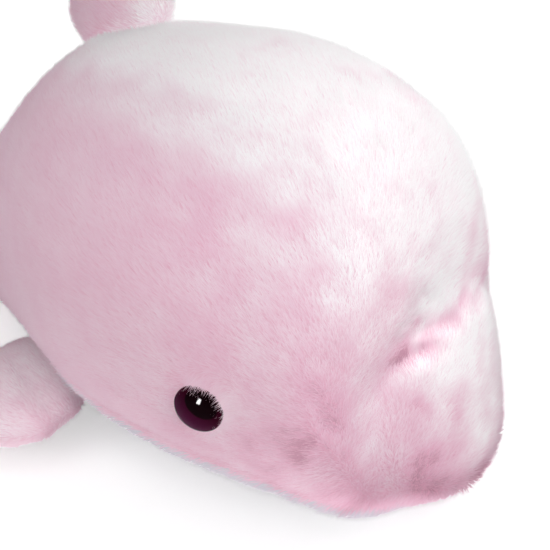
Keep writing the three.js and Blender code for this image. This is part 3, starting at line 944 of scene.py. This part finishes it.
print("noise from", round(1 / SWIRLS[0], 3), "m to", round(1 / DRIFTS[0], 3), "m across")

# %% The pile as a node graph
PILE_INPUTS = {
    "Skin": "Geometry", "Density": "Float", "Length": "Float", "Width": "Float", "Rise": "Float",
    "Swirl": "Float", "Fray": "Float", "Seed": "Int", "Strand": "Object", "Material": "Material",
}
LIVELY = 0.12  # how much the light on one strand differs from that on the next


def pile_graph():
    tree = bpy.data.node_groups.new("pile", "GeometryNodeTree")
    for name, kind in PILE_INPUTS.items():
        tree.interface.new_socket(name, in_out="INPUT", socket_type=f"NodeSocket{kind}")
    tree.interface.new_socket("Pile", in_out="OUTPUT", socket_type="NodeSocketGeometry")
    entry = tree.nodes.new("NodeGroupInput")
    given = {socket.name: Value(socket) for socket in entry.outputs if socket.name}
    roots = make(tree, "GeometryNodeDistributePointsOnFaces", None, {
        "Mesh": given["Skin"],
        "Density": given["Density"] * field(tree, "cover"),
        "Seed": given["Seed"],
    })
    jitter = make(tree, "FunctionNodeRandomValue", {"data_type": "FLOAT_VECTOR"},
                  {0: (-1, -1, -1), 1: (1, 1, 1), "Seed": given["Seed"] + SEEDS["jitter"]})
    seam = field(tree, "seam")
    near_seam = 1.0 - seam.math("ABSOLUTE", seam).between(0.0, SEAM_REACH)
    shown = field(tree, "lit", "FLOAT_VECTOR")
    shown = shown.vector("NORMALIZE", shown.vector("ADD", shown, jitter.scaled(LIVELY)))
    roots = make(tree, "GeometryNodeStoreNamedAttribute", {"data_type": "FLOAT", "domain": "POINT"},
                 {"Geometry": roots, "Name": "tone", "Value": strand_tone(tree, given, near_seam)})
    roots = make(tree, "GeometryNodeStoreNamedAttribute", {"data_type": "FLOAT_VECTOR", "domain": "POINT"},
                 {"Geometry": roots, "Name": "shown", "Value": shown})
    planted = make(tree, "GeometryNodeInstanceOnPoints", None, {
        "Points": roots,
        "Instance": make(tree, "GeometryNodeObjectInfo", None, {"Object": given["Strand"]}, "Geometry"),
        "Rotation": strand_turn(tree, given, jitter),
        "Scale": strand_size(tree, given, near_seam),
    })
    real = make(tree, "GeometryNodeRealizeInstances", None, {"Geometry": planted})
    dyed = make(tree, "GeometryNodeSetMaterial", None, {"Geometry": real, "Material": given["Material"]})
    leave = tree.nodes.new("NodeGroupOutput")
    tree.links.new(dyed.socket, leave.inputs["Pile"])
    return tree


pile_tree = pile_graph()
pile_sockets = {item.name: item.identifier for item in pile_tree.interface.items_tree}
print("pile graph of", len(pile_tree.nodes), "nodes")

# %% [markdown]
# ## Dyes
# Plush is dyed in one colour, and its tips are paler than its roots. The darker roots are partly
# the dye and partly painted shade between the fibres, since the pile casts no shadow. Where the
# pile parts, one looks down to the roots, and the deepest pink there is painted shade. A picture laid
# over the skin couldn't follow single strands. So each strand has one tone, and the material mixes
# four dyes by that tone and by the place along the strand. Fibres scatter light so widely that plush
# shows no gloss.


# %% Dye of the pile
PALE_ROOT_SHARE = 0.35  # how much of the palest dye a root takes up where the tone is palest
ROOT_TO_TIP = (-0.2, 0.8)  # where along a strand the dye of the root, darker partly as painted shade, turns into that of the tip
TIP_SHEEN = 0.15  # tips are this much less rough than roots


def pile_material(name, deep, root, tip, pale):
    made, tree, shader = material(name)
    along = make(tree, "ShaderNodeAttribute", {"attribute_name": "along"}, output="Fac")
    tone = make(tree, "ShaderNodeAttribute", {"attribute_name": "tone"}, output="Fac")
    shade = tone * (1 + DEEPEST) - DEEPEST
    shade = shade.math("MAXIMUM", shade, 0.0)
    # roots darker than tips, partly painted shade; tones under 0 give the deep colour, painted shade in
    # partings
    pale_root = tuple((1 - PALE_ROOT_SHARE) * a + PALE_ROOT_SHARE * b for a, b in zip(tip, pale))
    dyed = along.between(*ROOT_TO_TIP).mixed(shade.mixed(root, pale_root), shade.mixed(tip, pale))
    dyed = tone.between(0.0, DEEPEST / (1 + DEEPEST)).mixed(deep, dyed)
    tree.links.new(dyed.socket, shader.inputs["Base Color"])
    tree.links.new((1.0 - along * TIP_SHEEN).socket, shader.inputs["Roughness"])
    shader.inputs["Specular IOR Level"].default_value = 0.0
    return made


# deep is painted shade in parted pile, and root is darker partly as painted shade
pink_pile = pile_material(
    "pink_pile",
    deep=colour(208, 156, 176),
    root=colour(231, 174, 197),
    tip=colour(239, 203, 219),
    pale=colour(255, 253, 254),
)
# the white belly pile is dyed greyer and pinker than white, as painted shade under the body and painted
# pink reflected light
white_pile = pile_material(
    "white_pile",
    deep=colour(196, 189, 198),
    root=colour(204, 197, 205),
    tip=colour(220, 214, 222),
    pale=colour(236, 230, 237),
)
print("dyed", pink_pile.name, "and", white_pile.name)

# %% Dye of the backing
KNIT_SCALE = 900.0
KNIT_HEIGHT = 0.0003
KNIT_SHADE = (0.85, 0.25)  # the darkest of the grain, and how much its highest adds
KNIT_SHEEN = 0.2
BUMP_STRENGTH = 0.5


def bumped(tree, shader, grain, height):
    """Lets a grain from 0 to 1 stand out from the surface by a height."""
    inputs = {"Strength": BUMP_STRENGTH, "Distance": height, "Height": grain}
    tree.links.new(make(tree, "ShaderNodeBump", None, inputs).socket, shader.inputs["Normal"])


def skin_material(name, tint, pale):
    made, tree, shader = material(name)
    tone = make(tree, "ShaderNodeAttribute", {"attribute_name": "tone"}, output="Fac")
    tone = make(tree, "ShaderNodeClamp", None, {"Value": tone})
    place = make(tree, "ShaderNodeTexCoord", output="Object")
    grain = make(tree, "ShaderNodeTexNoise", None, {"Vector": place, "Scale": KNIT_SCALE, "Detail": 1.0})
    # the tone carries the pile's painted light and painted shade onto the backing
    knit = tone.mixed(tint, pale)
    shaded = knit.scaled(grain * KNIT_SHADE[1] + KNIT_SHADE[0])
    tree.links.new(shaded.socket, shader.inputs["Base Color"])
    tree.links.new((1.0 - grain * KNIT_SHEEN).socket, shader.inputs["Roughness"])
    bumped(tree, shader, grain, KNIT_HEIGHT)
    shader.inputs["Specular IOR Level"].default_value = 0.0
    return made


# the deeper pink of the backing is partly painted shade between the fibres
pink_skin = skin_material("pink_skin", tint=colour(234, 182, 203), pale=colour(247, 228, 236))
# the white backing is greyer and pinker than white too, as painted shade and painted pink reflected light
white_skin = skin_material("white_skin", tint=colour(214, 207, 215), pale=colour(226, 220, 227))
print("dyed", pink_skin.name, "and", white_skin.name)

# %% [markdown]
# ## Growing
# One mesh of all strands would be too heavy. So the skin is cut into lengths and sides, and each
# is planted by itself with its own seed, as is each fin. Lit by its own three faces, every strand
# would glitter. It takes the direction of the skin instead, as a fibre in a dense pile is lit like
# its neighbours.

# %% Growing
PILE_LENGTH = 0.0072
STRAND_WIDTH = 0.0006
RISE = 0.7  # how far the pile stands up, where 1 is halfway
SWIRL = 0.6
FRAY = 0.3
CHART_EDGE = 0.01  # the bake chart keeps this far from its borders
CHART_WIDTH = 0.004  # and gives a strand this half width
PLANTING_FIELDS = ("comb", "outward", "lit", "spread", "long", "cover", "seam")


def part_of(mesh, name, chosen):
    """A copy of some of a mesh's faces, with its attributes."""
    work = bmesh.new()
    work.from_mesh(mesh)
    work.faces.ensure_lookup_table()
    bmesh.ops.delete(work, geom=[f for f, keep in zip(work.faces, chosen) if not keep], context="FACES")
    part = bpy.data.meshes.new(name)
    work.to_mesh(part)
    work.free()
    return part


def add_chart(mesh):
    """A bake chart of tone across and place along the strand upwards, which fits every strand."""
    names = ("tone", "along", "side")
    tone, along, side = (read(mesh.attributes[name].data, "value", 1)[:, 0] for name in names)
    corner = np.empty(len(mesh.loops), np.int32)
    mesh.loops.foreach_get("vertex_index", corner)
    room = 1 - 2 * CHART_EDGE
    chart = np.stack([CHART_EDGE + room * tone + CHART_WIDTH * side, CHART_EDGE + room * along], axis=1)
    layer = mesh.uv_layers.new(name="OFBake")
    layer.data.foreach_set("uv", chart[corner].astype(np.float32).ravel())


def grown(name, skin, dye, density, seed):
    """The pile on a skin as one plain mesh."""
    piece = bpy.data.objects.new(name, skin)
    scene.collection.objects.link(piece)
    modifier = piece.modifiers.new("pile", "NODES")
    modifier.node_group = pile_tree
    values = {
        "Density": density, "Length": PILE_LENGTH, "Width": STRAND_WIDTH, "Rise": RISE, "Swirl": SWIRL,
        "Fray": FRAY, "Seed": seed, "Strand": strand, "Material": dye,
    }
    for key, value in values.items():
        modifier[pile_sockets[key]] = value
    piece.update_tag()
    mesh = bpy.data.meshes.new_from_object(piece.evaluated_get(bpy.context.evaluated_depsgraph_get()))
    piece.modifiers.remove(modifier)
    piece.data = mesh
    mesh.name = name
    bpy.data.meshes.remove(skin)
    mesh.normals_split_custom_set_from_vertices(read(mesh.attributes["shown"].data, "vector"))
    add_chart(mesh)
    for extra in ("shown", "side", *PLANTING_FIELDS):
        if extra in mesh.attributes:
            mesh.attributes.remove(mesh.attributes[extra])
    return piece


print("pile", PILE_LENGTH * MILLIMETRES, "mm long")

# %% The pile as pieces
DENSITY = 1.75e6  # strands to a square metre
LENGTHS = {"rear": (-1.0, -0.02), "hind": (-0.02, 0.08), "middle": (0.08, 0.17), "front": (0.17, 1.0)}
SEED_STEP = 100
BEND_START = 0.016  # where a fin's bend would start, this far inside its hinge; nothing bends by it
BEND_END = 0.012  # and where it would end, this far outside it


def hold(piece, body):
    """A piece of the body rides on it, and a piece of a fin stays fixed where it stands."""
    if body == "body":
        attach(piece, body)
    else:
        place = fin_frames[body]
        start = place["pivot"] - BEND_START * place["out"]
        end = place["pivot"] + BEND_END * place["out"]
        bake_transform(piece)


centres = read(body_mesh.polygons, "center")
corners = np.array([p.vertices[:] for p in body_mesh.polygons])
on_belly = belly[corners].mean(axis=1) > 0.5
plantings = []
for part, (low, high) in LENGTHS.items():
    here = (centres[:, 0] > low) & (centres[:, 0] <= high)
    for side, sign in zip(SIDES, (-1, 1)):
        name = f"back_pile_{side}_{part}"
        chosen = here & (np.sign(centres[:, 1]) == sign) & ~on_belly
        plantings.append((name, "body", part_of(body_mesh, name, chosen), pink_pile))
    name = f"belly_pile_{part}"
    plantings.append((name, "body", part_of(body_mesh, name, here & on_belly), white_pile))
for fin in FINS:
    plantings.append((f"{fin}_pile", fin, skins[fin].copy(), pink_pile))
total = 0
for number, (name, body, skin, dye) in enumerate(plantings):
    piece = grown(name, skin, dye, DENSITY, SEED_STEP * number)
    piece.visible_shadow = False
    hold(piece, body)
    total += len(piece.data.polygons)
    print(name, len(piece.data.polygons), "triangles")
print("pile in all", total, "triangles")

# %% [markdown]
# ## The bags themselves
# Between the fibres the knitted backing shows as a deeper pink, which is also painted shade, since
# the pile casts none there. It also closes the form, so the toy has a surface under its fur and
# casts its shadow with it.

# %% Skins as pieces
for body, mesh in skins.items():
    piece = bpy.data.objects.new(f"{body}_skin", mesh)
    scene.collection.objects.link(piece)
    mesh.materials.append(pink_skin)
    if body == "body":
        mesh.materials.append(white_skin)
        mesh.polygons.foreach_set("material_index", on_belly.astype(np.int32))
    mesh.normals_split_custom_set_from_vertices(read(mesh.attributes["lit"].data, "vector"))
    for extra in PLANTING_FIELDS:
        mesh.attributes.remove(mesh.attributes[extra])
    hold(piece, body)
    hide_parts(*PANELS[body])
    print(piece.name, len(mesh.polygons), "faces")

# %% [markdown]
# ## Eyes
# A crystal safety eye is a clear dome, glued over a painted plate. Light that falls in from above
# in front comes out on the far side, so the plum colour glows there as a crescent while the rest
# stays almost black. Real glass over a plate would need many light paths for the same look. So the
# crescent is painted light, on a smooth dome, with a pupil that shifts with the height of the dome,
# and a thin pink rim on the crescent's side is a painted reflection. A clear coat gives the gloss.

# %% Eye dome
EYE_TURNS = 48
EYE_ARCS = 12
BRIM = 0.15  # share of the height that is a straight wall


def eye_dome(side):
    base, axis, forward, upward, radius, height = eye_frame(side)
    rings = [(1.0, 0.0)]
    for k in range(EYE_ARCS):
        turn = math.pi / 2 * k / EYE_ARCS
        rings.append((math.cos(turn), BRIM + (1 - BRIM) * math.sin(turn)))
    turns = np.arange(EYE_TURNS) * 2 * math.pi / EYE_TURNS
    circle = np.cos(turns)[:, None] * forward + np.sin(turns)[:, None] * upward
    points = [base + radius * wide * circle + height * high * axis for wide, high in rings]
    points = np.concatenate([*points, [base + height * axis, base]])
    top, bottom = len(points) - 2, len(points) - 1
    starts = [EYE_TURNS * ring for ring in range(len(rings))]
    faces = []
    for j in range(EYE_TURNS):
        k = (j + 1) % EYE_TURNS
        faces.append((bottom, k, j))
        faces += [(low + j, low + k, high + k, high + j) for low, high in zip(starts, starts[1:])]
        faces.append((starts[-1] + j, starts[-1] + k, top))
    if np.cross(forward, upward) @ axis < 0:
        faces = [face[::-1] for face in faces]
    mesh = bpy.data.meshes.new(f"eye_{side}_crystal")
    mesh.from_pydata(points.tolist(), [], faces)
    mesh.shade_smooth()
    across = (points - base) / radius
    layer = mesh.uv_layers.new(name="face")
    for loop in mesh.loops:
        p = across[loop.vertex_index]
        layer.data[loop.index].uv = (0.5 + 0.5 * (p @ forward), 0.5 + 0.5 * (p @ upward))
    return mesh


print("eye of", EYE_TURNS, "by", EYE_ARCS + 1, "faces")

# %% Eye paint
PUPIL_AT = (0.08, 0.15)  # forward and upward, in radii
PUPIL_SHIFT = (0.34, 0.52)  # how far a dome of full height moves it
PUPIL_EDGE = (0.62, 0.72)
# a thin pink rim on the crescent's side, a painted reflection
RIM_EDGE = (0.94, 0.99)
GLOW_SIDE = (-0.55, -0.83)  # the crescent of painted light lies behind and below
GLOW_EDGE = (-0.5, 0.7)
PLATE_ROUGHNESS = 0.3  # and the rim has as much again
EYE_PAINT = {
    "shade": colour(46, 0, 22),
    "plum": colour(68, 5, 48),
    "pupil": colour(12, 0, 3),
    # the rim's pink is a painted reflection
    "rim": colour(170, 84, 116),
}
COAT = {"Coat Weight": 1.0, "Coat IOR": 1.08, "Coat Roughness": 0.02}


def eye_crystal():
    made, tree, shader = material("eye_crystal")
    chart = make(tree, "ShaderNodeUVMap", {"uv_map": "face"})
    axes = [make(tree, "ShaderNodeSeparateXYZ", None, {"Vector": chart}, k) for k in (0, 1)]
    forward, upward = (axis * 2.0 - 1.0 for axis in axes)
    out = (forward ** 2.0 + upward ** 2.0) ** 0.5
    within = 1.0 - out ** 2.0
    within = within.math("MAXIMUM", within, 0.0)
    high = BRIM + (1 - BRIM) * within ** 0.5
    ahead = forward - high * PUPIL_SHIFT[0] - PUPIL_AT[0]
    above = upward - high * PUPIL_SHIFT[1] - PUPIL_AT[1]
    pupil = (ahead ** 2.0 + above ** 2.0) ** 0.5
    glow = (forward * GLOW_SIDE[0] + upward * GLOW_SIDE[1]).between(*GLOW_EDGE)
    plate = glow.mixed(EYE_PAINT["shade"], EYE_PAINT["plum"])
    inside = pupil.between(*PUPIL_EDGE).mixed(EYE_PAINT["pupil"], plate)
    # painted reflection along the rim, on the crescent's side
    rim = out.between(*RIM_EDGE) * glow
    tree.links.new(rim.mixed(inside, EYE_PAINT["rim"]).socket, shader.inputs["Base Color"])
    tree.links.new((rim * PLATE_ROUGHNESS + PLATE_ROUGHNESS).socket, shader.inputs["Roughness"])
    shader.inputs["Specular IOR Level"].default_value = 0.0
    for name, value in COAT.items():
        shader.inputs[name].default_value = value
    return made


crystal = eye_crystal()
print("painted", crystal.name)

# %% Eyes as pieces
for side in SIDES:
    piece = bpy.data.objects.new(f"eye_{side}_crystal", eye_dome(side))
    piece.data.materials.append(crystal)
    scene.collection.objects.link(piece)
    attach(piece, "body")
    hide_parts(f"eye_{side}_dome", f"eye_{side}_iris")
    print(piece.name, len(piece.data.polygons), "faces")

# %% [markdown]
# ## Eye fasteners
# A stem through the fabric and a washer behind it hold each eye. They are hidden in the stuffing, so
# they stay as they are packed and only get a finish: dark moulded plastic, faintly mottled.

# %% Eye fasteners
MOTTLE_SCALE = 400.0
MOTTLE_HEIGHT = 0.0001
fastener, tree, shader = material("eye_fastener")
spot = make(tree, "ShaderNodeTexCoord", output="Object")
mottle = make(tree, "ShaderNodeTexNoise", None, {"Vector": spot, "Scale": MOTTLE_SCALE})
dark = mottle.mixed(colour(20, 18, 20), colour(34, 31, 33))
tree.links.new(dark.socket, shader.inputs["Base Color"])
tree.links.new((mottle * 0.2 + 0.4).socket, shader.inputs["Roughness"])
bumped(tree, shader, mottle, MOTTLE_HEIGHT)
for side in SIDES:
    for part in ("stem", "washer"):
        node = nodes[f"eye_{side}_{part}"]
        node.data.materials.clear()
        node.data.materials.append(fastener)
print("fasteners finished in", fastener.name)

# %% [markdown]
# ## Size
# Pile stands a few millimetres off the imported panels, and nothing should stand off further. The
# box around all that is shown is found here.

# %% Size
low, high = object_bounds()
